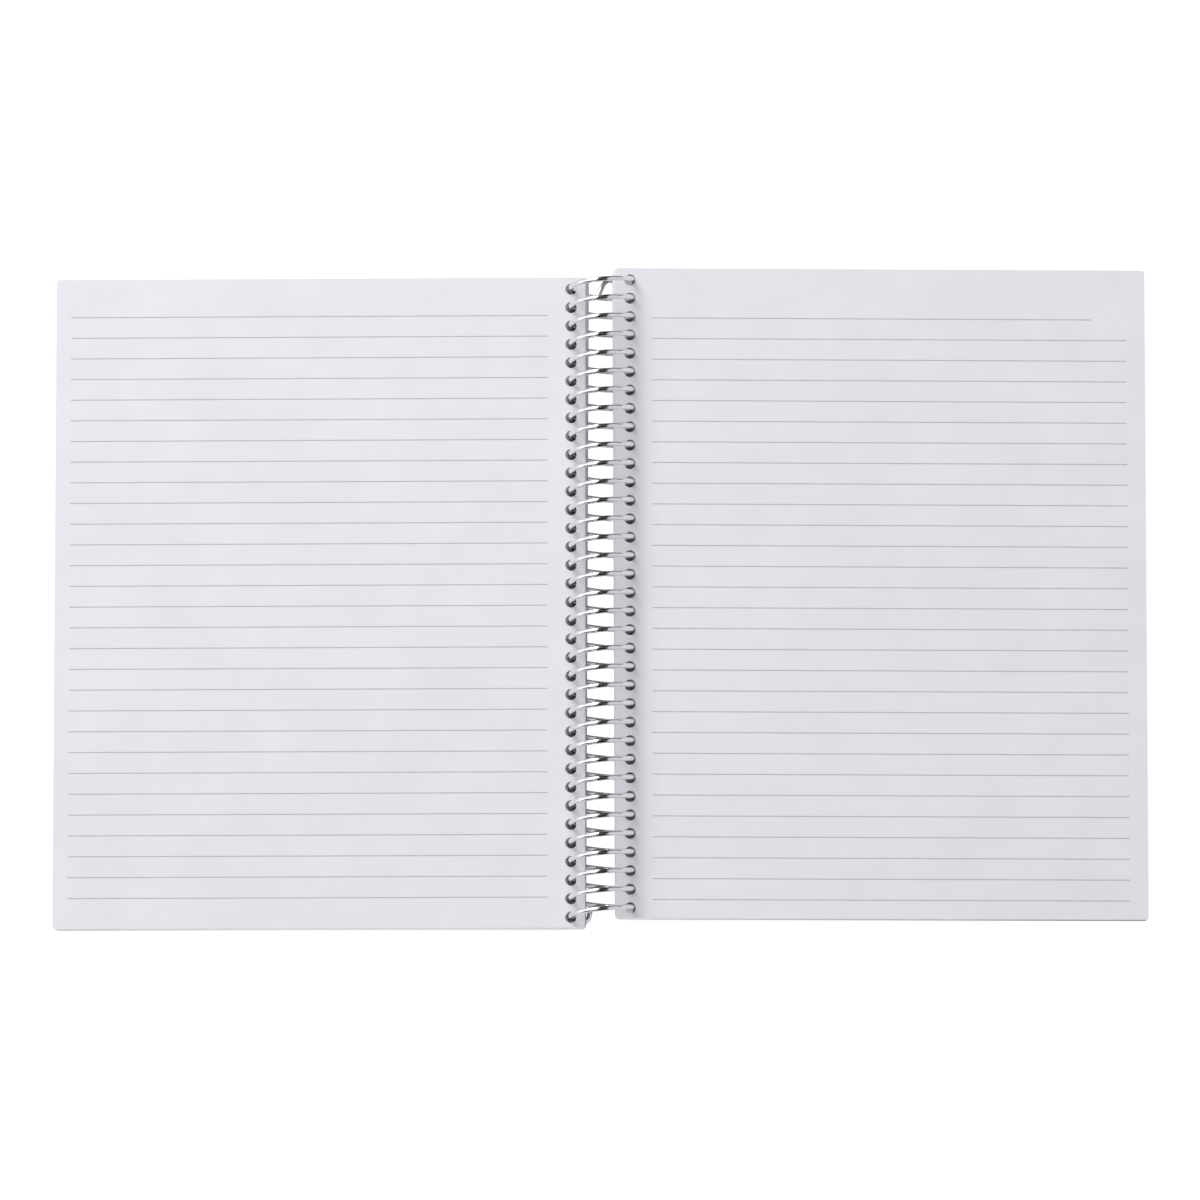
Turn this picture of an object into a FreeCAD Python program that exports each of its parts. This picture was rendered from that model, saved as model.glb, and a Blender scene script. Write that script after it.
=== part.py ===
import FreeCAD, Part

import math
import os

# An open spiral notebook in millimetres, +Z up. The coil's axis runs along Y above the origin, and the table is
# Z = 0. Each half lies as a straight slab that leans from the coil down to the table.

Vector = FreeCAD.Vector
RIGHT = 1
LEFT = -1

# Coil: one wire of standard quarter inch pitch, with a turn for each hole
wire_diameter = 1.75
coil_pitch = 6.35
coil_turns = 35
coil_radius = 10.4

# Bent ends of the wire: where the last turn stops past the coil's side, and the tail after its bend
bend_radius = 2.2
far_end_angle = 72.0
far_tail_length = 6.0
far_tail_direction = Vector(-0.36, -0.83, 0.42)
near_end_angle = 52.0
near_tail_length = 1.6
near_tail_direction = Vector(0.15, 0.95, 0.25)

# Leaves: each half holds the same number
leaf_width = 181.0
leaf_thickness = 0.11
leaves_per_half = 40
leaf_corner_radius = 1.3

# Punching, the same row through leaves and covers: the play is the wire's room in a hole, the margins run from
# the holes' centres to a leaf's edges, and the row lies punch_shift below a leaf's middle
hole_play = 2.15
cover_hole_play = 2.65
punch_margin = 4.9
row_end_margin = 3.75
punch_shift = 0.35

# How the open stacks hang on the wire: their faces lie below the coil's axis, and the holes of the top and the
# lowest leaf are centred this much nearer to the axis than the wire is there
face_drop = 0.75
left_slip_top = 0.0
left_slip_bottom = 0.0
right_slip_top = 0.5
right_slip_bottom = -0.2

# How far the wire crosses each half above the centres of its holes along Y, which leaves it room to screw
# through them while the book closes. The front cover's row is punched higher, so that the wire starts low in it.
wire_above_left = 0.1
wire_above_right = 0.15
cover_row_rise = 0.75

# Covers: laminated card, a little wider than the leaves
cover_overhang = 1.8
cover_thickness = 0.6
cover_gap = 0.05
foot_depth = 0.05

# Worked out from the values above
wire_radius = wire_diameter / 2
axis_height = coil_radius + wire_radius
stack_thickness = leaf_thickness * leaves_per_half
cover_drop = face_drop + stack_thickness + cover_gap
cover_width = leaf_width + cover_overhang
row_length = coil_pitch * (coil_turns - 1)
leaf_height = row_length + 2 * row_end_margin
hole_diameter = wire_diameter + hole_play
cover_hole_diameter = wire_diameter + cover_hole_play
coil_centre_y = (wire_above_left + wire_above_right) / 2 - punch_shift


def wire_reach(drop):
    """How far out from the coil's axis the wire is, at a depth below the axis."""
    return math.sqrt(coil_radius**2 - drop**2)


def cover_reach():
    """How far from the coil's axis a cover's holes are centred."""
    return wire_reach(cover_drop + cover_thickness / 2)


def lean_angle():
    """The angle in degrees at which a cover's outer lower edge dips foot_depth under the table's plane."""
    outer = cover_reach() - punch_margin + cover_width
    lower = cover_drop + cover_thickness
    slope = math.asin((axis_height + foot_depth) / math.hypot(outer, lower))
    return math.degrees(slope - math.atan2(lower, outer))


def rounded_rectangle(left, right, low, high, radius):
    """A closed wire in the XY plane with round corners."""
    quarter = radius * math.sqrt(0.5)
    edges = []
    corners = [(right, low, 1, -1), (right, high, 1, 1), (left, high, -1, 1), (left, low, -1, -1)]
    for x, y, side_x, side_y in corners:
        centre = Vector(x - side_x * radius, y - side_y * radius, 0)
        along_x = centre + Vector(side_x * radius, 0, 0)
        along_y = centre + Vector(0, side_y * radius, 0)
        middle = centre + Vector(side_x * quarter, side_y * quarter, 0)
        start, end = (along_y, along_x) if side_x * side_y < 0 else (along_x, along_y)
        edges.append((start, middle, end))
    wire = []
    for index, (start, middle, end) in enumerate(edges):
        wire.append(Part.Arc(start, middle, end).toShape())
        wire.append(Part.makeLine(end, edges[(index + 1) % 4][0]))
    return Part.Wire(wire)


def punched_face(reach, width, row_y, leaf_y, diameter):
    """A leaf's flat outline with its row of holes at the given reach from the coil's axis."""
    inner = reach - punch_margin
    low = leaf_y - leaf_height / 2
    high = leaf_y + leaf_height / 2
    wires = [rounded_rectangle(inner, inner + width, low, high, leaf_corner_radius)]
    for index in range(coil_turns):
        centre = Vector(reach, row_y - row_length / 2 + index * coil_pitch, 0)
        wires.append(Part.Wire(Part.makeCircle(diameter / 2, centre)))
    return Part.Face(wires, "Part::FaceMakerBullseye")


def lean(shape, side):
    """Turns a slab built outward along +X to its side and leans it from the coil down to the table."""
    placed = shape.copy()
    if side == LEFT:
        placed.rotate(Vector(0, 0, 0), Vector(0, 0, 1), 180)
    placed.rotate(Vector(0, 0, 0), Vector(0, 1, 0), side * lean_angle())
    placed.translate(Vector(0, 0, axis_height))
    return placed


def row_centre_y(side):
    """The middle of a half's row of holes, from where the wire goes down through the top leaf."""
    wire_above = wire_above_left if side == LEFT else wire_above_right
    past_top = 90 + math.degrees(math.asin(face_drop / coil_radius))
    return coil_centre_y + side * coil_pitch * past_top / 360 - wire_above


def leaf_stack(side):
    """All leaves of one half, as one slab whose edges and holes slant with the curve of the wire."""
    slip_top, slip_bottom = (left_slip_top, left_slip_bottom)
    if side == RIGHT:
        slip_top, slip_bottom = (right_slip_top, right_slip_bottom)
    reach_top = wire_reach(face_drop) - slip_top
    reach_bottom = wire_reach(face_drop + stack_thickness) - slip_bottom
    row_y = row_centre_y(side)
    leaf_y = row_y + punch_shift
    face = punched_face(reach_top, leaf_width, side * row_y, side * leaf_y, hole_diameter)
    face.translate(Vector(0, 0, -face_drop))
    return lean(face.extrude(Vector(reach_bottom - reach_top, 0, -stack_thickness)), side)


def cover(side):
    """One cover under its leaves, planed off where its outer lower edge rests on the table."""
    leaf_y = row_centre_y(side) + punch_shift
    row_y = row_centre_y(side) + (cover_row_rise if side == LEFT else 0)
    face = punched_face(cover_reach(), cover_width, side * row_y, side * leaf_y, cover_hole_diameter)
    face.translate(Vector(0, 0, -cover_drop))
    sheet = lean(face.extrude(Vector(0, 0, -cover_thickness)), side)
    above = Part.makeBox(4 * leaf_width, 2 * leaf_height, 4 * axis_height)
    above.translate(Vector(-2 * leaf_width, -leaf_height, 0))
    return sheet.common(above).Solids[0]


def wire_point(angle):
    """The wire's centre, at an angle in degrees along its helix from the top of the middle turn."""
    turn = math.radians(angle)
    climb = coil_centre_y + coil_pitch * angle / 360
    return Vector(coil_radius * math.sin(turn), climb, axis_height + coil_radius * math.cos(turn))


def wire_heading(angle):
    """The unit direction in which the helix runs at that angle."""
    turn = math.radians(angle)
    climb = coil_pitch / (2 * math.pi)
    return Vector(coil_radius * math.cos(turn), climb, -coil_radius * math.sin(turn)).normalize()


def helix(first, last):
    """The wire's centre line between two angles, as one true helix about the coil's axis."""
    edges = Part.makeHelix(coil_pitch, coil_pitch * (last - first) / 360, coil_radius).Edges
    turn = math.radians(first)
    outward = Vector(math.sin(turn), 0, math.cos(turn))
    along = Vector(0, 1, 0)
    frame = FreeCAD.Rotation(outward, along.cross(outward), along, "ZXY")
    start = Vector(0, wire_point(first).y, axis_height)
    for edge in edges:
        edge.Placement = FreeCAD.Placement(start, frame).multiply(edge.Placement)
    return edges


def bent_tail(start, heading, direction, length):
    """A bend from one heading to another, then a straight tail: its two edges and its far end."""
    target = Vector(direction).normalize()
    turn = math.acos(heading.dot(target))
    inward = (target - heading * heading.dot(target)).normalize()
    centre = start + inward * bend_radius

    def on_bend(angle):
        return centre - inward * (bend_radius * math.cos(angle)) + heading * (bend_radius * math.sin(angle))

    end = on_bend(turn)
    tip = end + target * length
    return [Part.Arc(start, on_bend(turn / 2), end).toShape(), Part.makeLine(end, tip)], tip


def spiral_coil():
    """The whole wire: a turn for each hole and two bent ends."""
    last_side = 180 * (coil_turns - 1) + 90
    near = -last_side - near_end_angle
    far = last_side + far_end_angle
    back = wire_heading(near) * -1
    near_tail, near_tip = bent_tail(wire_point(near), back, near_tail_direction, near_tail_length)
    far_tail, _ = bent_tail(wire_point(far), wire_heading(far), far_tail_direction, far_tail_length)
    path = Part.Wire(Part.__sortEdges__(near_tail + helix(near, far) + far_tail))
    section = Part.Wire(Part.makeCircle(wire_radius, near_tip, Vector(near_tail_direction).normalize()))
    return path.makePipeShell([section], True, True)


def build():
    """All pieces by name."""
    return {
        "spiral_coil": spiral_coil(),
        "left_pages": leaf_stack(LEFT),
        "right_pages": leaf_stack(RIGHT),
        "front_cover": cover(LEFT),
        "back_cover": cover(RIGHT),
    }


os.makedirs("parts", exist_ok=True)
for name, shape in build().items():
    shape.exportStep(f"parts/{name}.step")
    box = shape.BoundBox
    print(name, shape.ShapeType, shape.isValid(), round(shape.Volume, 1), box)
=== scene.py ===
"""Dresses an open spiral notebook: ruled leaves, card covers and a bright wire coil on a white table."""

import bmesh
import bpy
import logging
import math
import random
from collections.abc import Sequence
from dataclasses import dataclass, field
from enum import Enum
from mathutils import Matrix, Vector

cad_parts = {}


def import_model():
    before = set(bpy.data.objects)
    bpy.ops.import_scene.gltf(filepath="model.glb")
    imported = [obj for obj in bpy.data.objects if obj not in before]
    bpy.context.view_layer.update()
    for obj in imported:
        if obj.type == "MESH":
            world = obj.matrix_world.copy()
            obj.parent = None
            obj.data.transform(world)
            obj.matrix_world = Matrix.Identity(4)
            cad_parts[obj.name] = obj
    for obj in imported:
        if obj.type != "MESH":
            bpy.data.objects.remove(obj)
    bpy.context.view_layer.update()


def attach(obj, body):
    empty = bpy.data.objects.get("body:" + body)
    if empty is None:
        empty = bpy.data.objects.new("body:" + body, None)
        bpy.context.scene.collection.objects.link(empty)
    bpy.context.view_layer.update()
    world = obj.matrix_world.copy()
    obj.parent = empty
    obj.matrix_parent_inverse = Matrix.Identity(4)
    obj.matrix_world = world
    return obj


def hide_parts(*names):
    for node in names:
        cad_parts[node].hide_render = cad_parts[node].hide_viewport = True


MM = 0.001
LOG = logging.getLogger("notebook")
WELD = 1e-7

Colour = tuple[float, float, float, float]


def srgb(red: int, green: int, blue: int) -> Colour:
    """Turns a colour of the screen into the linear light that a shader takes.

    Args:
        red: Red from 0 to 255.
        green: Green from 0 to 255.
        blue: Blue from 0 to 255.

    Returns:
        Linear red, green and blue, and an alpha of 1.
    """
    linear = []
    for part in (red, green, blue):
        value = part / 255
        linear.append(value / 12.92 if value <= 0.04045 else ((value + 0.055) / 1.055) ** 2.4)
    return (linear[0], linear[1], linear[2], 1.0)


class Side(Enum):
    """The two halves of the open book, by the way that they reach from the coil."""

    LEFT = -1
    RIGHT = 1


class Punching(Enum):
    """How finely a sheet's holes are cut: the open leaves are seen from close by."""

    HIDDEN = 12
    OPEN = 32


@dataclass(frozen=True)
class Binding:
    """The sizes that the wire and everything punched for it share, in metres."""

    wire_radius: float = 0.875 * MM
    coil_radius: float = 10.4 * MM
    pitch: float = 6.35 * MM
    turns: int = 35
    punch_margin: float = 4.9 * MM
    punch_shift: float = 0.35 * MM
    row_end_margin: float = 3.75 * MM
    face_drop: float = 0.75 * MM
    wire_above_left: float = 0.1 * MM
    wire_above_right: float = 0.15 * MM
    lean: float = math.radians(1.69634)
    axis_height: float = 11.275 * MM

    @property
    def row_length(self) -> float:
        """The distance from the first hole's centre to the last one's."""
        return self.pitch * (self.turns - 1)

    @property
    def leaf_height(self) -> float:
        """The height of a leaf along the coil."""
        return self.row_length + 2 * self.row_end_margin

    @property
    def centre_y(self) -> float:
        """Where the middle turn's top is."""
        return (self.wire_above_left + self.wire_above_right) / 2 - self.punch_shift

    def wire_reach(self, drop: float) -> float:
        """How far out from the coil's axis the wire is, at a depth below the axis."""
        return math.sqrt(self.coil_radius**2 - drop**2)

    def row_y(self, side: Side) -> float:
        """The middle of a half's row of holes.

        Args:
            side: The half.

        Returns:
            Where it is along the coil.
        """
        above = self.wire_above_left if side is Side.LEFT else self.wire_above_right
        past_top = math.pi / 2 + math.asin(self.face_drop / self.coil_radius)
        return self.centre_y + side.value * self.pitch * past_top / math.tau - above

    def place(self, side: Side) -> Matrix:
        """The transform from a sheet laid outward along +X to where its half leans.

        Args:
            side: The half that the sheet belongs to.

        Returns:
            The transform into the book's own frame.
        """
        lift = Matrix.Translation((0, 0, self.axis_height))
        slope = Matrix.Rotation(side.value * self.lean, 4, "Y")
        half_turn = Matrix.Rotation(math.pi if side is Side.LEFT else 0, 4, "Z")
        return lift @ slope @ half_turn


class MaterialBuilder:
    """Starts a node material and adds the nodes that the finishes share."""

    def __init__(self, name: str) -> None:
        """Makes an empty node material with a principled shader.

        Args:
            name: The material's name.
        """
        self.material = bpy.data.materials.new(name)
        self.material.use_nodes = True
        self.tree = self.material.node_tree
        self.shader = self.tree.nodes["Principled BSDF"]
        self.coordinates = self.add("ShaderNodeTexCoord").outputs["Object"]

    def add(self, kind: str, **values: object) -> bpy.types.Node:
        """Adds a node and sets the named inputs or properties on it.

        Args:
            kind: The node's type.
            **values: A value for each input or property, by its name with underscores for spaces.

        Returns:
            The new node.
        """
        node = self.tree.nodes.new(kind)
        for name, value in values.items():
            label = name.replace("_", " ")
            if label in node.inputs:
                node.inputs[label].default_value = value
            else:
                setattr(node, name, value)
        return node

    def link(self, source: bpy.types.NodeSocket, target: bpy.types.NodeSocket) -> None:
        """Joins an output to an input."""
        self.tree.links.new(source, target)

    def noise(self, scale: float, detail: float = 2.0, roughness: float = 0.5) -> bpy.types.NodeSocket:
        """A noise pattern fixed to the piece.

        Args:
            scale: Its features per metre.
            detail: Its octaves.
            roughness: How strong its finer octaves are.

        Returns:
            The pattern's value.
        """
        node = self.add("ShaderNodeTexNoise", Scale=scale, Detail=detail, Roughness=roughness)
        self.link(self.coordinates, node.inputs["Vector"])
        return node.outputs["Fac"]

    def ramp(
        self, value: bpy.types.NodeSocket, stops: Sequence[tuple[float, Colour]]
    ) -> bpy.types.NodeSocket:
        """Turns a value into colours.

        Args:
            value: The value to read.
            stops: Positions from 0 to 1 with their colours.

        Returns:
            The colour.
        """
        node = self.add("ShaderNodeValToRGB")
        elements = node.color_ramp.elements
        for index, (position, colour) in enumerate(stops):
            element = elements[index] if index < 2 else elements.new(position)
            element.position = position
            element.color = colour
        self.link(value, node.inputs["Fac"])
        return node.outputs["Color"]

    def bump(self, height: bpy.types.NodeSocket, distance: float, strength: float) -> None:
        """Raises the surface by a height pattern.

        Args:
            height: The pattern.
            distance: How high its full value stands, in metres.
            strength: How much of it shows.
        """
        node = self.add("ShaderNodeBump", Distance=distance, Strength=strength)
        self.link(height, node.inputs["Height"])
        self.link(node.outputs["Normal"], self.shader.inputs["Normal"])


@dataclass(frozen=True)
class PaperFinish:
    """Smooth cool white writing paper with faint cloudy formation and fine fibres."""

    name: str = "writing_paper"
    light: Colour = srgb(234, 233, 239)
    dark: Colour = srgb(229, 228, 234)
    cloud_scale: float = 55.0
    fibre_scale: float = 2600.0
    roughness: float = 0.82

    def material(self) -> bpy.types.Material:
        """Builds the paper's material.

        Returns:
            The material.
        """
        builder = MaterialBuilder(self.name)
        clouds = builder.noise(self.cloud_scale, detail=5.0, roughness=0.6)
        colour = builder.ramp(clouds, [(0.3, self.dark), (0.7, self.light)])
        builder.link(colour, builder.shader.inputs["Base Color"])
        builder.bump(builder.noise(self.fibre_scale, detail=4.0, roughness=0.7), 0.02 * MM, 0.35)
        builder.shader.inputs["Roughness"].default_value = self.roughness
        builder.shader.inputs["Specular IOR Level"].default_value = 0.3
        return builder.material


@dataclass(frozen=True)
class InkFinish:
    """The pale grey ink of the ruled lines, a little uneven along its length."""

    name: str = "ruling_ink"
    light: Colour = srgb(188, 188, 196)
    dark: Colour = srgb(175, 175, 184)
    wear_scale: float = 900.0

    def material(self) -> bpy.types.Material:
        """Builds the ink's material.

        Returns:
            The material.
        """
        builder = MaterialBuilder(self.name)
        wear = builder.noise(self.wear_scale, detail=3.0)
        colour = builder.ramp(wear, [(0.35, self.dark), (0.65, self.light)])
        builder.link(colour, builder.shader.inputs["Base Color"])
        builder.shader.inputs["Roughness"].default_value = 0.8
        return builder.material


@dataclass(frozen=True)
class PaintedHoleShadeFinish:
    """The punched walls inside a thick stack, in dark greys of painted shade: the paper is white, and the
    dark stands in for the shade deep in the holes.
    """

    name: str = "punched_edge_painted_shade"
    # painted shade: dark greys in place of the white paper, for the shade inside the holes
    light: Colour = srgb(104, 104, 109)
    dark: Colour = srgb(62, 62, 66)
    grain_scale: float = 3000.0

    def material(self) -> bpy.types.Material:
        """Builds the material of the holes' walls, with its painted shade.

        Returns:
            The material.
        """
        builder = MaterialBuilder(self.name)
        grain = builder.noise(self.grain_scale, detail=2.0)
        colour = builder.ramp(grain, [(0.3, self.dark), (0.7, self.light)])
        builder.link(colour, builder.shader.inputs["Base Color"])
        builder.shader.inputs["Roughness"].default_value = 1.0
        builder.shader.inputs["Specular IOR Level"].default_value = 0.1
        return builder.material


@dataclass(frozen=True)
class CardFinish:
    """Cool grey card with a thin satin lamination that shows a faint orange peel."""

    name: str = "laminated_card"
    light: Colour = srgb(176, 178, 184)
    dark: Colour = srgb(168, 170, 177)
    cloud_scale: float = 30.0
    peel_scale: float = 700.0

    def material(self) -> bpy.types.Material:
        """Builds the cover's material.

        Returns:
            The material.
        """
        builder = MaterialBuilder(self.name)
        clouds = builder.noise(self.cloud_scale, detail=4.0)
        colour = builder.ramp(clouds, [(0.3, self.dark), (0.7, self.light)])
        builder.link(colour, builder.shader.inputs["Base Color"])
        builder.bump(builder.noise(self.peel_scale, detail=2.0), 0.01 * MM, 0.3)
        builder.shader.inputs["Roughness"].default_value = 0.42
        builder.shader.inputs["Coat Weight"].default_value = 0.25
        builder.shader.inputs["Coat Roughness"].default_value = 0.3
        return builder.material


@dataclass(frozen=True)
class BoardFinish:
    """The cut edge of the grey board inside a cover, with its pressed layers."""

    name: str = "board_edge"
    light: Colour = srgb(172, 168, 160)
    dark: Colour = srgb(146, 142, 135)
    fibre_scale: float = 2200.0

    def material(self) -> bpy.types.Material:
        """Builds the board edge's material.

        Returns:
            The material.
        """
        builder = MaterialBuilder(self.name)
        fibres = builder.noise(self.fibre_scale, detail=4.0, roughness=0.7)
        colour = builder.ramp(fibres, [(0.3, self.dark), (0.7, self.light)])
        builder.link(colour, builder.shader.inputs["Base Color"])
        builder.bump(fibres, 0.03 * MM, 0.5)
        builder.shader.inputs["Roughness"].default_value = 0.95
        return builder.material


@dataclass(frozen=True)
class WireFinish:
    """Bright plated steel wire with fine drawing marks."""

    name: str = "bright_wire"
    colour: Colour = srgb(240, 240, 242)
    mark_scale: float = 1400.0

    def material(self) -> bpy.types.Material:
        """Builds the wire's material.

        Returns:
            The material.
        """
        builder = MaterialBuilder(self.name)
        marks = builder.noise(self.mark_scale, detail=3.0)
        gloss = builder.add("ShaderNodeMapRange", From_Min=0.3, From_Max=0.7, To_Min=0.1, To_Max=0.2)
        builder.link(marks, gloss.inputs["Value"])
        builder.link(gloss.outputs["Result"], builder.shader.inputs["Roughness"])
        builder.bump(marks, 0.004 * MM, 0.25)
        builder.shader.inputs["Base Color"].default_value = self.colour
        builder.shader.inputs["Metallic"].default_value = 1.0
        return builder.material


def new_piece(
    name: str, bm: bmesh.types.BMesh, materials: Sequence[bpy.types.Material], smooth: bool
) -> bpy.types.Object:
    """Makes an object at the origin from a finished bmesh.

    Args:
        name: The piece's name.
        bm: Its mesh, which is freed.
        materials: Its materials in the order of the faces' material numbers.
        smooth: Whether its faces are shaded smooth.

    Returns:
        The new object.
    """
    mesh = bpy.data.meshes.new(name)
    for face in bm.faces:
        face.smooth = smooth
    bm.to_mesh(mesh)
    bm.free()
    for material in materials:
        mesh.materials.append(material)
    piece = bpy.data.objects.new(name, mesh)
    bpy.context.collection.objects.link(piece)
    return piece


def faces_between(bm: bmesh.types.BMesh, axis: int, low: float, high: float) -> list[bmesh.types.BMFace]:
    """The faces whose middle lies between two values along an axis."""
    return [face for face in bm.faces if low < face.calc_center_median()[axis] < high]


def cut(bm: bmesh.types.BMesh, faces: Sequence[bmesh.types.BMFace], axis: int, at: float) -> None:
    """Cuts faces along a plane across an axis.

    Args:
        bm: The mesh.
        faces: The faces to cut.
        axis: 0 for a plane across X, 1 for one across Y.
        at: Where the plane stands on that axis.
    """
    edges = {edge for face in faces for edge in face.edges}
    verts = {vert for face in faces for vert in face.verts}
    point = Vector((0, 0, 0))
    point[axis] = at
    normal = Vector((0, 0, 0))
    normal[axis] = 1
    geometry = list(verts) + list(edges) + list(faces)
    bmesh.ops.bisect_plane(bm, geom=geometry, dist=WELD, plane_co=point, plane_no=normal)


@dataclass(frozen=True)
class Ruling:
    """The printed lines of a page, measured from the leaf's top and outer edges, in metres."""

    first: float
    step: float
    start: float
    end: float
    short_first: float = 0.0
    count: int = 29
    line_width: float = 0.34 * MM


@dataclass
class PunchedSheet:
    """A flat sheet with a row of holes, laid outward along +X from the coil's axis at Z = 0."""

    binding: Binding
    side: Side
    width: float
    thickness: float
    hole_radius: float
    reach: float = 0.0
    corner_radius: float = 1.3 * MM
    row_rise: float = 0.0
    punching: Punching = Punching.HIDDEN
    ruling: Ruling | None = None
    trim: float = 0.0
    recede: float = 0.0
    corner_steps: int = 5

    FACE = 0
    EDGE = 1
    HOLE = 2
    INK = 3
    PAST_HOLES = 2.0
    HOLE_ZONE = 1.2
    OUTLINE_PLAY = 0.05 * MM
    UPRIGHT = 0.5

    @property
    def row_y(self) -> float:
        """The middle of the row of holes before the sheet is turned to its side."""
        return self.side.value * (self.binding.row_y(self.side) + self.row_rise)

    @property
    def middle_y(self) -> float:
        """The middle of the sheet before it is turned to its side."""
        return self.side.value * (self.binding.row_y(self.side) + self.binding.punch_shift)

    @property
    def inner(self) -> float:
        """The edge beside the coil."""
        return self.reach - self.binding.punch_margin

    def flat(self) -> bmesh.types.BMesh:
        """Makes the sheet's face: a rectangle with round corners, filled around its holes.

        Returns:
            A mesh of the face, still without thickness.
        """
        bm = bmesh.new()
        bmesh.ops.create_grid(bm, x_segments=1, y_segments=1, size=0.5)
        bmesh.ops.scale(bm, vec=(self.width, self.binding.leaf_height, 1), verts=bm.verts)
        bmesh.ops.translate(bm, vec=(self.inner + self.width / 2, self.middle_y, 0), verts=bm.verts)
        inner_corners = [vert for vert in bm.verts if vert.co.x < self.inner + self.width / 2]
        lower = [vert for vert in inner_corners if (vert.co.y - self.middle_y) * self.side.value < 0]
        bmesh.ops.translate(bm, vec=(self.recede, 0, 0), verts=inner_corners)
        bmesh.ops.translate(bm, vec=(self.trim, 0, 0), verts=lower)
        bmesh.ops.bevel(
            bm,
            geom=bm.verts[:],
            offset=self.corner_radius,
            offset_type="OFFSET",
            segments=self.corner_steps,
            profile=0.5,
            affect="VERTICES",
            material=-1,
        )
        bmesh.ops.delete(bm, geom=bm.faces[:], context="FACES_ONLY")
        for index in range(self.binding.turns):
            y = self.row_y + (index - (self.binding.turns - 1) / 2) * self.binding.pitch
            centre = Matrix.Translation((self.reach, y, 0))
            bmesh.ops.create_circle(bm, segments=self.punching.value, radius=self.hole_radius, matrix=centre)
        bmesh.ops.triangle_fill(bm, edges=bm.edges[:], use_beauty=True, normal=(0, 0, 1))
        return bm

    def print_lines(self, bm: bmesh.types.BMesh, ruling: Ruling) -> None:
        """Cuts the ruled lines into the face and gives them their ink.

        Args:
            bm: The flat sheet.
            ruling: Where the lines are.
        """
        outer = self.inner + self.width
        split = self.reach + self.PAST_HOLES * self.hole_radius
        cut(bm, bm.faces[:], 0, split)
        bmesh.ops.dissolve_faces(bm, faces=faces_between(bm, 0, split, outer))
        start = self.inner + ruling.start
        end = outer - ruling.end
        cut(bm, faces_between(bm, 0, split, outer), 0, start)
        cut(bm, faces_between(bm, 0, start, outer), 0, end)
        half = ruling.line_width / 2
        top = self.middle_y + self.side.value * self.binding.leaf_height / 2
        for index in range(ruling.count):
            line_y = top - self.side.value * (ruling.first + index * ruling.step)
            for y in (line_y - half, line_y + half):
                cut(bm, faces_between(bm, 0, start, end), 1, y)
            stop = end
            if index == 0 and ruling.short_first:
                band = [face for face in faces_between(bm, 1, line_y - half, line_y + half)
                        if start < face.calc_center_median().x < end]
                stop = outer - ruling.short_first
                cut(bm, band, 0, stop)
            band = [face for face in faces_between(bm, 1, line_y - half, line_y + half)
                    if start < face.calc_center_median().x < stop]
            for face in band:
                face.material_index = self.INK

    def solid(self) -> bmesh.types.BMesh:
        """Gives the flat sheet its thickness downwards and numbers its faces by finish.

        Returns:
            The sheet's whole mesh.
        """
        bm = self.flat()
        if self.ruling:
            self.print_lines(bm, self.ruling)
        grown = bmesh.ops.extrude_face_region(bm, geom=bm.faces[:])["geom"]
        below = [item for item in grown if isinstance(item, bmesh.types.BMVert)]
        for face in [item for item in grown if isinstance(item, bmesh.types.BMFace)]:
            face.material_index = self.FACE
        bmesh.ops.translate(bm, vec=(0, 0, -self.thickness), verts=below)
        bmesh.ops.recalc_face_normals(bm, faces=bm.faces[:])
        for face in bm.faces:
            if abs(face.normal.z) < self.UPRIGHT:
                face.material_index = self.HOLE if self.in_hole(face.calc_center_median()) else self.EDGE
        return bm

    def in_hole(self, point: Vector) -> bool:
        """Whether a point lies on a hole's wall and not on the sheet's outline.

        Args:
            point: The middle of an upright face.

        Returns:
            True on a hole's wall.
        """
        near_row = abs(point.x - self.reach) < self.HOLE_ZONE * self.hole_radius
        inside = abs(point.y - self.middle_y) < self.binding.leaf_height / 2 - self.OUTLINE_PLAY
        return near_row and inside


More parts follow.
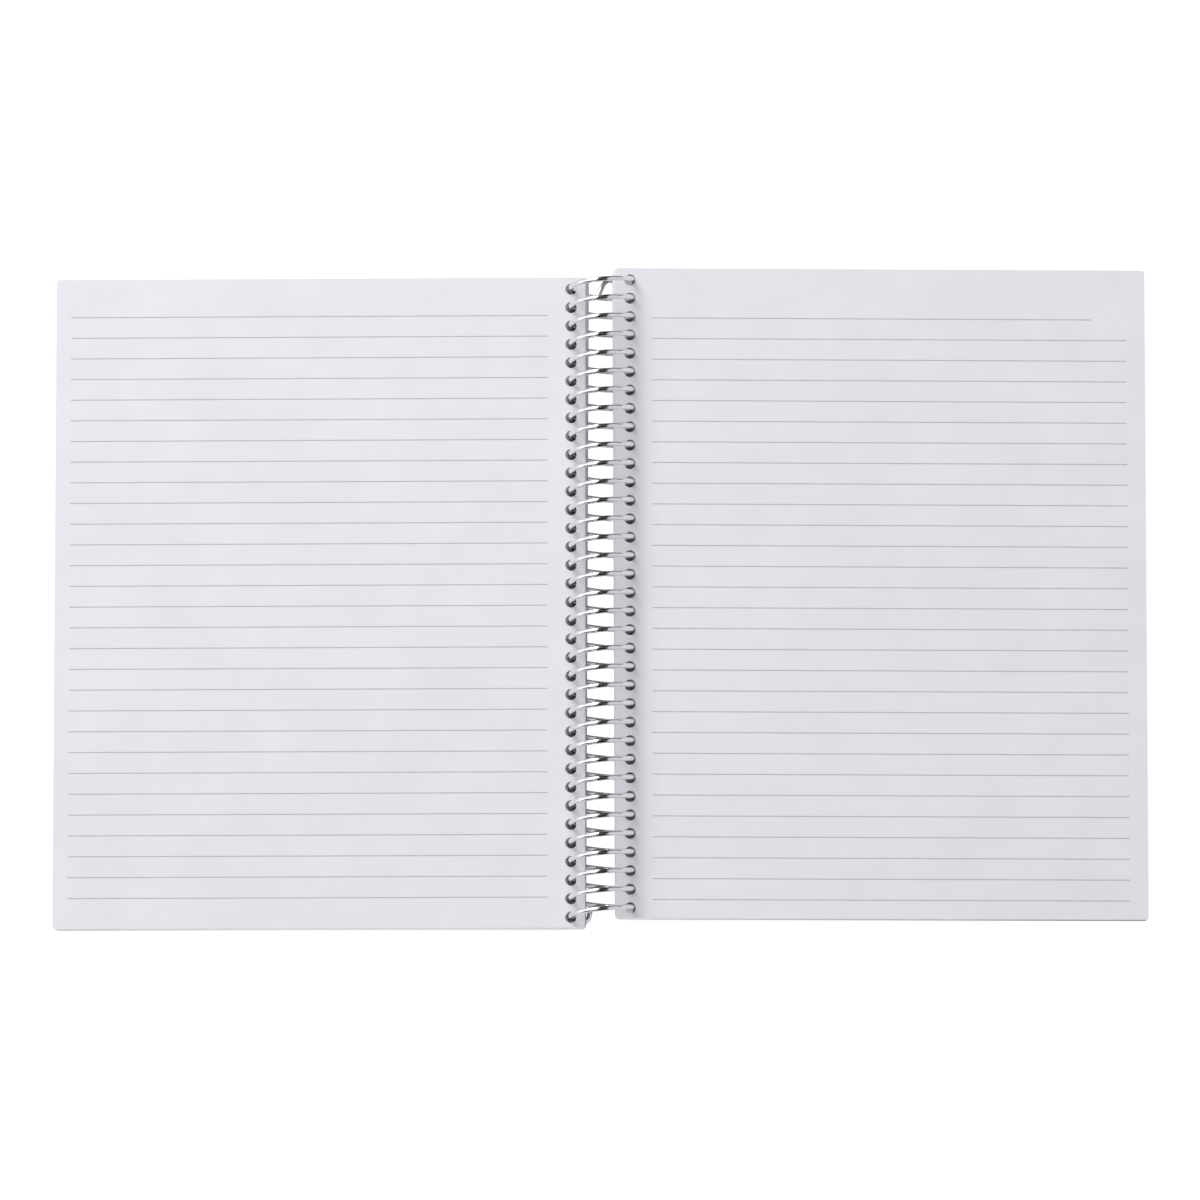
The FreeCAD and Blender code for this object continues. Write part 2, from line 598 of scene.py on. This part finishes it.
@dataclass
class LeafStack:
    """One half's leaves: a stack of separate sheets under the open leaf with its ruled lines."""

    binding: Binding
    side: Side
    paper: bpy.types.Material
    # the leaves' cut edges: a paler copy of the paper, painted light
    cut: bpy.types.Material
    ink: bpy.types.Material
    # the holes' walls: a material of painted shade
    hole: bpy.types.Material
    ruling: Ruling
    slip_top: float
    slip_bottom: float
    recede: float
    fan: float
    fan_pivot: float
    fan_drop: float
    trim: float
    leaves: int = 40
    leaf_gap: float = 0.11 * MM
    leaf_thickness: float = 0.1 * MM
    leaf_width: float = 181.0 * MM
    hole_radius: float = 1.95 * MM
    corner_radius: float = 0.9 * MM
    scatter: float = 0.1 * MM
    twist: float = 0.015
    edge_zone: float = 1.3
    seed: int = 7

    @property
    def node(self) -> str:
        """The solid that the leaves stand for."""
        return "left_pages" if self.side is Side.LEFT else "right_pages"

    @property
    def body(self) -> str:
        """The body that the leaves move with."""
        return "front_leaves" if self.side is Side.LEFT else "back_half"

    def sheet(self, punching: Punching, ruling: Ruling | None = None) -> PunchedSheet:
        """A leaf at the stack's own punching.

        Args:
            punching: How finely its holes are cut.
            ruling: Its printed lines, if it shows any.

        Returns:
            The leaf, still flat.
        """
        drop = self.binding.face_drop
        reach = self.binding.wire_reach(drop) - self.slip_top
        return PunchedSheet(
            binding=self.binding,
            side=self.side,
            width=self.leaf_width,
            thickness=self.leaf_thickness,
            hole_radius=self.hole_radius,
            reach=reach,
            corner_radius=self.corner_radius,
            punching=punching,
            ruling=ruling,
            trim=0.0 if ruling else self.trim,
        )

    def slant(self) -> float:
        """How far the lowest leaf lies outward of the top one.

        Returns:
            The distance in metres.
        """
        depth = self.leaves * self.leaf_gap
        top = self.binding.wire_reach(self.binding.face_drop) - self.slip_top
        return self.binding.wire_reach(self.binding.face_drop + depth) - self.slip_bottom - top

    def open_leaf(self) -> bpy.types.Object:
        """The top leaf, with the page that the book lies open at.

        Returns:
            Its piece.
        """
        bm = self.sheet(Punching.OPEN, self.ruling).solid()
        bmesh.ops.translate(bm, vec=(0, 0, -self.binding.face_drop), verts=bm.verts)
        bmesh.ops.transform(bm, matrix=self.binding.place(self.side), verts=bm.verts)
        name = f"{self.side.name.lower()}_open_leaf"
        return new_piece(name, bm, [self.paper, self.cut, self.hole, self.ink], smooth=False)

    def lower_leaves(self) -> bpy.types.Object:
        """The leaves under the open one, none of them quite in line.

        Returns:
            One piece with all of them.
        """
        chance = random.Random(self.seed)
        single = self.sheet(Punching.HIDDEN).solid()
        template = bpy.data.meshes.new("leaf_template")
        single.to_mesh(template)
        single.free()
        bm = bmesh.new()
        sheet = self.sheet(Punching.HIDDEN)
        before_holes = sheet.reach - self.edge_zone * sheet.hole_radius
        pivot = Vector((sheet.reach, sheet.middle_y + self.side.value * self.fan_pivot, 0))
        for index in range(1, self.leaves):
            share = index / (self.leaves - 1)
            first = len(bm.verts)
            bm.from_mesh(template)
            bm.verts.ensure_lookup_table()
            verts = bm.verts[first:]
            inner_edge = [vert for vert in verts if vert.co.x < before_holes]
            bmesh.ops.translate(bm, vec=(self.recede * share, 0, 0), verts=inner_edge)
            turn = math.radians(self.fan * share + chance.uniform(-self.twist, self.twist))
            shift_x = self.slant() * share + chance.uniform(-self.scatter, self.scatter)
            shift_y = chance.uniform(-self.scatter, self.scatter) - self.side.value * self.fan_drop * share
            drop = -self.binding.face_drop - index * self.leaf_gap
            bmesh.ops.rotate(bm, cent=pivot, matrix=Matrix.Rotation(turn, 3, "Z"), verts=verts)
            bmesh.ops.translate(bm, vec=(shift_x, shift_y, drop), verts=verts)
        bpy.data.meshes.remove(template)
        bmesh.ops.transform(bm, matrix=self.binding.place(self.side), verts=bm.verts)
        name = f"{self.side.name.lower()}_lower_leaves"
        return new_piece(name, bm, [self.paper, self.cut, self.hole], smooth=False)

    def build(self) -> list[bpy.types.Object]:
        """Builds the half's leaves and lets them ride on their body.

        Returns:
            The half's two pieces.
        """
        pieces = [self.open_leaf(), self.lower_leaves()]
        for piece in pieces:
            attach(piece, self.body)
            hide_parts(self.node)
        return pieces


@dataclass
class Cover:
    """One laminated card cover under its leaves."""

    binding: Binding
    side: Side
    card: bpy.types.Material
    board: bpy.types.Material
    width: float = 182.2 * MM
    thickness: float = 0.6 * MM
    drop: float = 5.2 * MM
    hole_radius: float = 2.2 * MM
    row_rise: float = 0.75 * MM
    edge_round: float = 0.08 * MM
    rim_angle: float = 1.0
    trim: float = 0.0
    recede: float = 0.0

    @property
    def node(self) -> str:
        """The solid that the cover stands for."""
        return "front_cover" if self.side is Side.LEFT else "back_cover"

    @property
    def body(self) -> str:
        """The body that the cover moves with."""
        return "front_half" if self.side is Side.LEFT else "back_half"

    def build(self) -> bpy.types.Object:
        """Builds the cover, planed off where its outer lower edge rests on the table.

        Returns:
            Its piece.
        """
        sheet = PunchedSheet(
            binding=self.binding,
            side=self.side,
            width=self.width,
            thickness=self.thickness,
            hole_radius=self.hole_radius,
            reach=self.binding.wire_reach(self.drop + self.thickness / 2),
            row_rise=self.row_rise if self.side is Side.LEFT else 0.0,
            punching=Punching.OPEN,
            trim=self.trim,
            recede=self.recede,
        )
        bm = sheet.solid()
        bmesh.ops.translate(bm, vec=(0, 0, -self.drop), verts=bm.verts)
        rim = [edge for edge in bm.edges if edge.is_manifold and edge.calc_face_angle() > self.rim_angle]
        bmesh.ops.bevel(
            bm,
            geom=rim,
            offset=self.edge_round,
            offset_type="OFFSET",
            segments=1,
            profile=0.5,
            affect="EDGES",
            material=-1,
        )
        bmesh.ops.transform(bm, matrix=self.binding.place(self.side), verts=bm.verts)
        whole = bm.verts[:] + bm.edges[:] + bm.faces[:]
        sliced = bmesh.ops.bisect_plane(
            bm, geom=whole, dist=WELD, plane_co=(0, 0, 0), plane_no=(0, 0, -1), clear_outer=True
        )
        bmesh.ops.edgenet_fill(bm, edges=edges_of(sliced["geom_cut"]))
        name = f"{self.node}_card"
        piece = new_piece(name, bm, [self.card, self.board, self.board], smooth=False)
        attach(piece, self.body)
        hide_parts(self.node)
        return piece


@dataclass
class Coil:
    """The wire: one helix with a turn for each hole, and both ends bent inward."""

    binding: Binding
    wire: bpy.types.Material
    sides: int = 16
    steps_per_turn: int = 48
    bend_radius: float = 2.2 * MM
    bend_steps: int = 10
    far_end_angle: float = 72.0
    far_tail_length: float = 6.0 * MM
    far_tail: Vector = field(default_factory=lambda: Vector((-0.36, -0.83, 0.42)).normalized())
    near_end_angle: float = 52.0
    near_tail_length: float = 1.6 * MM
    near_tail: Vector = field(default_factory=lambda: Vector((0.15, 0.95, 0.25)).normalized())
    worn_end: tuple[tuple[float, float], ...] = ((0.85, 0.2), (0.55, 0.15), (0.2, 0.08))
    seam: float = 0.01 * MM

    def point(self, angle: float) -> Vector:
        """The wire's centre at an angle in degrees from the top of the middle turn.

        Args:
            angle: The angle in degrees.

        Returns:
            The point.
        """
        turn = math.radians(angle)
        radius = self.binding.coil_radius
        climb = self.binding.centre_y + self.binding.pitch * angle / 360
        return Vector((radius * math.sin(turn), climb, self.binding.axis_height + radius * math.cos(turn)))

    def heading(self, angle: float) -> Vector:
        """The unit direction of the wire at that angle.

        Args:
            angle: The angle in degrees from the top of the middle turn.

        Returns:
            The direction.
        """
        turn = math.radians(angle)
        radius = self.binding.coil_radius
        climb = self.binding.pitch / math.tau
        return Vector((radius * math.cos(turn), climb, -radius * math.sin(turn))).normalized()

    def wind(
        self, bm: bmesh.types.BMesh, ring: list[bmesh.types.BMEdge], angle: float
    ) -> list[bmesh.types.BMEdge]:
        """Winds the wire on from a ring along the helix.

        Args:
            bm: The wire's mesh.
            ring: The open ring at its end.
            angle: How far it goes round, in degrees.

        Returns:
            The edges of the new open ring.
        """
        steps = round(self.steps_per_turn * angle / 360)
        spun = bmesh.ops.spin(
            bm,
            geom=ring_geometry(ring),
            cent=(0, 0, self.binding.axis_height),
            axis=(0, 1, 0),
            dvec=(0, self.binding.pitch * angle / 360 / steps, 0),
            angle=math.radians(angle),
            steps=steps,
        )
        return edges_of(spun["geom_last"])

    def bend_tail(
        self,
        bm: bmesh.types.BMesh,
        ring: list[bmesh.types.BMEdge],
        start: Vector,
        heading: Vector,
        target: Vector,
        length: float,
    ) -> None:
        """Bends the wire's end to a new direction, runs it straight and closes it with a worn round end.

        Args:
            bm: The wire's mesh.
            ring: The open ring at its end.
            start: The ring's centre.
            heading: Where the wire points there.
            target: Where it points after the bend.
            length: Its straight run after the bend.
        """
        turn = heading.angle(target)
        inward = (target - heading * heading.dot(target)).normalized()
        centre = start + inward * self.bend_radius
        bent = bmesh.ops.spin(
            bm,
            geom=ring_geometry(ring),
            cent=centre,
            axis=heading.cross(target).normalized(),
            angle=turn,
            steps=self.bend_steps,
        )
        ring = edges_of(bent["geom_last"])
        across = inward * (self.bend_radius * math.cos(turn))
        along = heading * (self.bend_radius * math.sin(turn))
        tip = centre - across + along
        ring = extrude_ring(bm, ring, target * length, tip, 1.0)
        tip = tip + target * length
        radius = self.binding.wire_radius
        previous = 1.0
        for share, advance in self.worn_end:
            step = target * (radius * advance)
            ring = extrude_ring(bm, ring, step, tip, share / previous)
            tip = tip + step
            previous = share
        bmesh.ops.contextual_create(bm, geom=ring)

    def build(self) -> bpy.types.Object:
        """Builds the whole wire from one ring that is spun along the helix.

        Returns:
            Its piece.
        """
        last_side = 180 * (self.binding.turns - 1) + 90
        near = -last_side - self.near_end_angle
        far = last_side + self.far_end_angle
        whole_turns = int((far - near) // 360)
        bm = bmesh.new()
        across = self.heading(near).to_track_quat("Z", "Y").to_matrix().to_4x4()
        place = Matrix.Translation(self.point(near)) @ across
        bmesh.ops.create_circle(bm, segments=self.sides, radius=self.binding.wire_radius, matrix=place)
        self.wind(bm, bm.edges[:], 360)
        one_turn = bpy.data.meshes.new("one_turn")
        bm.to_mesh(one_turn)
        for _ in range(whole_turns - 1):
            bmesh.ops.translate(bm, vec=(0, self.binding.pitch, 0), verts=bm.verts)
            bm.from_mesh(one_turn)
        bpy.data.meshes.remove(one_turn)
        bmesh.ops.remove_doubles(bm, verts=bm.verts, dist=self.seam)
        near_ring, far_ring = [], []
        for edge in bm.edges:
            if edge.is_boundary:
                (far_ring if edge.verts[0].co.y > 0 else near_ring).append(edge)
        far_ring = self.wind(bm, far_ring, far - near - 360 * whole_turns)
        back = -self.heading(near)
        self.bend_tail(bm, far_ring, self.point(far), self.heading(far), self.far_tail, self.far_tail_length)
        self.bend_tail(bm, near_ring, self.point(near), back, self.near_tail, self.near_tail_length)
        bmesh.ops.recalc_face_normals(bm, faces=bm.faces[:])
        piece = new_piece("wire_coil", bm, [self.wire], smooth=True)
        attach(piece, "coil")
        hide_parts("spiral_coil")
        return piece


def edges_of(geometry: Sequence[object]) -> list[bmesh.types.BMEdge]:
    """The edges among some mesh elements."""
    return [item for item in geometry if isinstance(item, bmesh.types.BMEdge)]


def ring_geometry(edges: Sequence[bmesh.types.BMEdge]) -> list[object]:
    """A ring's edges with their vertices."""
    verts = {vert for edge in edges for vert in edge.verts}
    return list(verts) + list(edges)


def extrude_ring(
    bm: bmesh.types.BMesh, ring: Sequence[bmesh.types.BMEdge], step: Vector, centre: Vector, scale: float
) -> list[bmesh.types.BMEdge]:
    """Grows a tube's open end.

    Args:
        bm: The mesh.
        ring: The edges of the open end.
        step: How far the new end moves.
        centre: The centre of the old end.
        scale: The new end's size as a share of the old one's.

    Returns:
        The edges of the new end.
    """
    grown = bmesh.ops.extrude_edge_only(bm, edges=list(ring))["geom"]
    verts = [item for item in grown if isinstance(item, bmesh.types.BMVert)]
    bmesh.ops.scale(bm, vec=(scale, scale, scale), space=Matrix.Translation(-centre), verts=verts)
    bmesh.ops.translate(bm, vec=step, verts=verts)
    fresh = set(verts)
    return [edge for edge in edges_of(grown) if edge.verts[0] in fresh and edge.verts[1] in fresh]


@dataclass(frozen=True)
class PaintedReflectionCard:
    """A curved glowing card high over the book that only the wire sees, a painted reflection, from one angle
    off the zenith to another.
    """

    name: str
    low: float
    high: float
    zenith: float
    horizon: float
    first: float = -86.0
    last: float = 86.0
    radius: float = 2.4


@dataclass(frozen=True)
class Softbox:
    """A square soft light that faces the book, by its place in metres and its power in watts."""

    name: str
    place: tuple[float, float, float]
    size: float
    power: float
    reflected: bool = False


@dataclass
class Studio:
    """The white table, the soft lights, the glowing cards that paint reflections into the metal, and the
    camera.
    """

    look_at: Vector = field(default_factory=lambda: Vector((-0.43 * MM, -1.07 * MM, 9.0 * MM)))
    tilt: float = math.radians(8.0)
    distance: float = 3.755
    frame_width: float = 0.40866
    sensor_width: float = 36.0
    sight: float = 20.0
    table_size: float = 6.0
    # the strip under the coil that is painted plain white by its place
    gap_half_width: float = 6.3 * MM
    shade_half_width: float = 0.21
    shade_half_height: float = 0.14
    # how the table's painted shade under the book is drawn from ambient occlusion
    shade_depth: float = 20 * MM
    shade_samples: int = 8
    shade_closed: float = 0.3
    shade_open: float = 0.4
    painted_shade_glow: float = 0.01
    open_glow: float = 0.95
    shown_grey: float = 0.2
    matte_grey: float = 0.8
    world_level: float = 0.4
    card_rows: int = 8
    card_columns: int = 24
    card_fade: float = 0.5
    lights: tuple[Softbox, ...] = (
        Softbox("key_light", (-1.0, 1.6, 1.3), size=0.9, power=25.6, reflected=True),
        Softbox("overhead_light", (-0.35, 0.4, 1.5), size=1.0, power=7.4),
        Softbox("front_fill", (0.0, -1.8, 0.16), size=0.3, power=19.5),
    )
    # painted reflections: glowing cards seen only by the metal, which give the wire its bright, dark and
    # grey bands
    painted_reflection_cards: tuple[PaintedReflectionCard, ...] = (
        PaintedReflectionCard("bright_painted_reflection", low=-0.98, high=-0.2, zenith=1.25, horizon=1.15),
        PaintedReflectionCard("overhead_painted_reflection", low=-0.21, high=0.4, zenith=0.1, horizon=0.01),
        PaintedReflectionCard("pale_painted_reflection", low=0.41, high=0.98, zenith=0.72, horizon=0.66),
        PaintedReflectionCard(
            "front_painted_reflection", low=-0.75, high=-0.15, first=-87, last=-42, zenith=0.03, horizon=0.03, radius=2.2
        ),
        PaintedReflectionCard(
            "rear_painted_reflection", low=0.33, high=0.9, first=56, last=87, zenith=0.03, horizon=0.03, radius=2.2
        ),
        PaintedReflectionCard(
            "rear_grey_painted_reflection", low=-0.8, high=-0.15, first=68, last=87, zenith=0.3, horizon=0.3, radius=2.2
        ),
    )

    def camera(self) -> None:
        """Stands the camera nearly over the book, tilted a little towards its lower edge."""
        data = bpy.data.cameras.new("camera")
        data.sensor_width = self.sensor_width
        data.lens = self.sensor_width * self.distance / self.frame_width
        data.clip_end = self.sight
        camera = bpy.data.objects.new("camera", data)
        offset = Vector((0, -math.sin(self.tilt), math.cos(self.tilt))) * self.distance
        camera.location = self.look_at + offset
        camera.rotation_euler = (self.tilt, 0, 0)
        bpy.context.collection.objects.link(camera)
        bpy.context.scene.camera = camera

    def seen_directly(self, tree: bpy.types.NodeTree, by_metal: bool) -> bpy.types.NodeSocket:
        """One for rays from the camera or through glass, and nought for the rest.

        Args:
            tree: The node tree to add to.
            by_metal: Whether what metal reflects counts too.

        Returns:
            The value's socket.
        """
        path = tree.nodes.new("ShaderNodeLightPath")
        first = tree.nodes.new("ShaderNodeMath")
        first.operation = "ADD"
        tree.links.new(path.outputs["Is Camera Ray"], first.inputs[0])
        if by_metal:
            tree.links.new(path.outputs["Is Glossy Ray"], first.inputs[1])
        else:
            first.inputs[1].default_value = 0.0
        second = tree.nodes.new("ShaderNodeMath")
        second.operation = "ADD"
        second.use_clamp = True
        tree.links.new(first.outputs[0], second.inputs[0])
        tree.links.new(path.outputs["Is Transmission Ray"], second.inputs[1])
        return second.outputs[0]

    def world(self) -> None:
        """Makes a white world that lights the book at a lower level than it shows."""
        world = bpy.data.worlds.new("studio_white")
        world.use_nodes = True
        tree = world.node_tree
        background = tree.nodes["Background"]
        background.inputs["Color"].default_value = (1, 1, 1, 1)
        strength = tree.nodes.new("ShaderNodeMapRange")
        strength.inputs["To Min"].default_value = self.world_level
        strength.inputs["To Max"].default_value = 1.0
        tree.links.new(self.seen_directly(tree, by_metal=True), strength.inputs["Value"])
        tree.links.new(strength.outputs["Result"], background.inputs["Strength"])
        bpy.context.scene.world = world

    def table(self) -> None:
        """Lays the white table, which glows white, with painted shade where the book stands close over it
        and painted white in the strip between the halves.
        """
        bm = bmesh.new()
        bmesh.ops.create_grid(bm, x_segments=1, y_segments=1, size=self.table_size / 2)
        builder = MaterialBuilder("white_table")
        builder.tree.nodes.remove(builder.shader)
        # painted shade: ambient occlusion dims the table's glow under the book and in the punched holes,
        # where shade falls
        openness = builder.add(
            "ShaderNodeAmbientOcclusion", Distance=self.shade_depth, samples=self.shade_samples
        )
        strength = builder.add(
            "ShaderNodeMapRange",
            From_Min=self.shade_closed,
            From_Max=self.shade_open,
            To_Min=self.painted_shade_glow,
            To_Max=self.open_glow,
        )
        builder.link(openness.outputs["AO"], strength.inputs["Value"])
        shaded = builder.add("ShaderNodeEmission")
        builder.link(strength.outputs["Result"], shaded.inputs["Strength"])
        open_table = builder.add("ShaderNodeEmission")
        glow = builder.add("ShaderNodeMixShader")
        builder.link(self.no_painted_shade(builder), glow.inputs[0])
        builder.link(shaded.outputs[0], glow.inputs[1])
        builder.link(open_table.outputs[0], glow.inputs[2])
        shade = builder.add("ShaderNodeBsdfDiffuse", Color=(*[self.shown_grey] * 3, 1))
        shown = builder.add("ShaderNodeAddShader")
        builder.link(shade.outputs[0], shown.inputs[0])
        builder.link(glow.outputs[0], shown.inputs[1])
        matte = builder.add("ShaderNodeBsdfDiffuse", Color=(*[self.matte_grey] * 3, 1))
        surface = builder.add("ShaderNodeMixShader")
        builder.link(self.seen_directly(builder.tree, by_metal=False), surface.inputs[0])
        builder.link(matte.outputs[0], surface.inputs[1])
        builder.link(shown.outputs[0], surface.inputs[2])
        builder.link(surface.outputs[0], builder.tree.nodes["Material Output"].inputs["Surface"])
        builder.material.cycles.emission_sampling = "NONE"
        new_piece("table", bm, [builder.material], smooth=False)

    def no_painted_shade(self, builder: MaterialBuilder) -> bpy.types.NodeSocket:
        """One where the table gets no painted shade, away from the book and in the strip between the halves,
        which is painted white though the coil shades it, and nought elsewhere.

        Args:
            builder: The table's material.

        Returns:
            The value's socket.
        """
        place = builder.add("ShaderNodeSeparateXYZ")
        builder.link(builder.coordinates, place.inputs[0])
        clear = None
        tests = (
            # painted light: the strip under the gap between the halves stays white by its place
            ("X", "LESS_THAN", self.gap_half_width),
            ("X", "GREATER_THAN", self.shade_half_width),
            ("Y", "GREATER_THAN", self.shade_half_height),
        )
        for axis, operation, limit in tests:
            size = builder.add("ShaderNodeMath", operation="ABSOLUTE")
            builder.link(place.outputs[axis], size.inputs[0])
            test = builder.add("ShaderNodeMath", operation=operation)
            test.inputs[1].default_value = limit
            builder.link(size.outputs[0], test.inputs[0])
            if clear is None:
                clear = test.outputs[0]
                continue
            either = builder.add("ShaderNodeMath", operation="MAXIMUM")
            builder.link(clear, either.inputs[0])
            builder.link(test.outputs[0], either.inputs[1])
            clear = either.outputs[0]
        return clear

    def shine(self, box: Softbox) -> None:
        """Hangs a soft light.

        Args:
            box: Its place, size and power.
        """
        data = bpy.data.lights.new(box.name, "AREA")
        data.shape = "SQUARE"
        data.size = box.size
        data.energy = box.power
        light = bpy.data.objects.new(box.name, data)
        place = Vector(box.place)
        light.location = place
        light.rotation_euler = (self.look_at - place).to_track_quat("-Z", "Y").to_euler()
        light.visible_glossy = box.reflected
        bpy.context.collection.objects.link(light)

    def hang(self, card: PaintedReflectionCard) -> None:
        """Bends a glowing card over the book, which only the metal sees: a painted reflection that lights
        nothing and casts no shadow.

        Args:
            card: Its place and brightness.
        """
        bm = bmesh.new()
        for row in range(self.card_rows + 1):
            sine = card.low + (card.high - card.low) * row / self.card_rows
            bm.verts.new((card.radius * sine, 0, card.radius * math.sqrt(1 - sine**2)))
        bm.verts.ensure_lookup_table()
        for row in range(self.card_rows):
            bm.edges.new((bm.verts[row], bm.verts[row + 1]))
        start = Matrix.Rotation(math.radians(-card.first), 3, "X")
        sweep = math.radians(card.first - card.last)
        bmesh.ops.rotate(bm, cent=(0, 0, 0), matrix=start, verts=bm.verts)
        line = bm.verts[:] + bm.edges[:]
        bmesh.ops.spin(
            bm, geom=line, cent=(0, 0, 0), axis=(1, 0, 0), angle=sweep, steps=self.card_columns
        )
        builder = MaterialBuilder(card.name)
        builder.tree.nodes.remove(builder.shader)
        # painted reflection: the card's glow fades from its zenith value to its horizon value
        along = builder.add("ShaderNodeSeparateXYZ")
        builder.link(builder.coordinates, along.inputs[0])
        size = builder.add("ShaderNodeMath", operation="ABSOLUTE")
        builder.link(along.outputs["Y"], size.inputs[0])
        fade = builder.add("ShaderNodeMapRange", To_Min=card.zenith, To_Max=card.horizon)
        fade.inputs["From Max"].default_value = card.radius * self.card_fade
        builder.link(size.outputs[0], fade.inputs["Value"])
        glow = builder.add("ShaderNodeEmission")
        builder.link(fade.outputs["Result"], glow.inputs["Strength"])
        builder.link(glow.outputs[0], builder.tree.nodes["Material Output"].inputs["Surface"])
        builder.material.cycles.emission_sampling = "NONE"
        piece = new_piece(card.name, bm, [builder.material], smooth=True)
        piece.visible_camera = False
        piece.visible_diffuse = False
        piece.visible_shadow = False
        piece.visible_transmission = False

    def build(self) -> None:
        """Sets up the whole studio."""
        self.camera()
        self.world()
        self.table()
        for box in self.lights:
            self.shine(box)
        for card in self.painted_reflection_cards:
            self.hang(card)
        bpy.context.scene.view_settings.view_transform = "Standard"


def main() -> None:
    """Builds the studio and every piece, and reports each piece."""
    logging.basicConfig(level=logging.INFO, format="%(relativeCreated)6.0f ms %(message)s")
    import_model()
    binding = Binding()
    Studio().build()
    paper = PaperFinish().material()
    # painted light: a paler copy of the paper for the leaves' cut edges, standing in for light on those
    # walls
    paper_edge_painted_light = PaperFinish(
        name="paper_edge_painted_light",
        light=srgb(247, 246, 249),
        dark=srgb(238, 237, 241),
        cloud_scale=400.0,
        fibre_scale=3200.0,
        roughness=0.92,
    ).material()
    ink = InkFinish().material()
    # painted shade for the walls of the punched holes
    hole = PaintedHoleShadeFinish().material()
    card = CardFinish().material()
    board = BoardFinish().material()
    wire = WireFinish().material()
    left_ruling = Ruling(first=13.1 * MM, step=7.14 * MM, start=12.9 * MM, end=5.1 * MM)
    right_ruling = Ruling(
        first=17.2 * MM, step=7.14 * MM, start=12.5 * MM, end=6.3 * MM, short_first=18.5 * MM
    )
    left = LeafStack(
        binding,
        Side.LEFT,
        paper,
        paper_edge_painted_light,
        ink,
        hole,
        left_ruling,
        slip_top=0.0,
        slip_bottom=0.0,
        recede=0.5 * MM,
        fan=-0.12,
        fan_pivot=0.108,
        fan_drop=0.2 * MM,
        trim=0.5 * MM,
        seed=3,
    )
    right = LeafStack(
        binding,
        Side.RIGHT,
        paper,
        paper_edge_painted_light,
        ink,
        hole,
        right_ruling,
        slip_top=0.5 * MM,
        slip_bottom=-0.2 * MM,
        recede=0.0,
        fan=0.15,
        fan_pivot=0.0,
        fan_drop=0.0,
        trim=0.3 * MM,
        seed=7,
    )
    pieces = [Coil(binding, wire).build()]
    pieces += left.build() + right.build()
    pieces.append(Cover(binding, Side.LEFT, card, board, trim=0.9 * MM, recede=0.5 * MM).build())
    pieces.append(Cover(binding, Side.RIGHT, card, board, trim=0.9 * MM).build())
    for piece in pieces:
        LOG.info("%s: %d faces", piece.name, len(piece.data.polygons))


if __name__ == "__main__":
    main()
